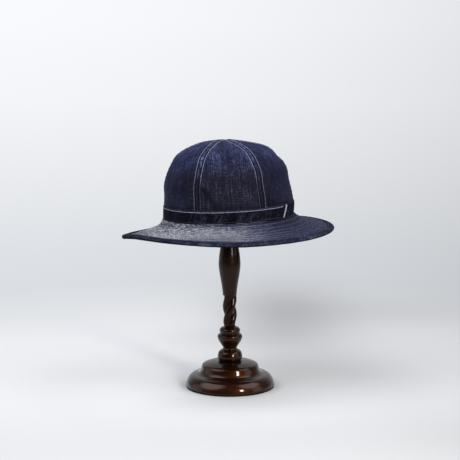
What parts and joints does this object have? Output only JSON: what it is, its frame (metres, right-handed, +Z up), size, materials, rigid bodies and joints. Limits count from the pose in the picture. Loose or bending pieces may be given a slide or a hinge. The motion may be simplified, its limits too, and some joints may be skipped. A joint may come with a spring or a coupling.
{
  "type": "denim army hat on a turned wooden stand",
  "caption": "Unlined denim army hat with a panelled crown, a stitched band and a wide bound brim, set on a turned wooden stand with a barley-twist stem.",
  "frame": {"origin": "centre of the stand's foot, at the level that it stands on", "axes": "+Z up along the stand's stem, -X the way the hat's front faces, -Y the wearer's left side"},
  "size_m": [0.3177, 0.2812, 0.3761],
  "materials": {
    "crown_denim": "dark indigo slub denim, matte, double rows of pale stitching beside each seam",
    "band_denim": "dark indigo denim, matte, one pale row of stitching along its top",
    "brim_denim": "faded grey-blue slub denim in rings of stitching, darker indigo at the back",
    "binding_denim": "dark indigo twill strip, matte",
    "selvedge": "off-white woven selvedge, matte",
    "turned_wood": "dark red-brown stain under gloss varnish"
  },
  "bodies": {
    "root": {"crown_panel_1": "crown_denim", "crown_panel_2": "crown_denim", "crown_panel_3": "crown_denim", "crown_panel_4": "crown_denim", "crown_panel_5": "crown_denim", "crown_panel_6": "crown_denim", "hat_band": "band_denim", "band_selvedge": "selvedge", "brim": "brim_denim", "brim_binding": "binding_denim", "stand_base": "turned_wood", "stand_knobs": "turned_wood", "stand_twist": "turned_wood", "stand_stem": "turned_wood", "stand_head": "turned_wood"}
  },
  "joints": []
}
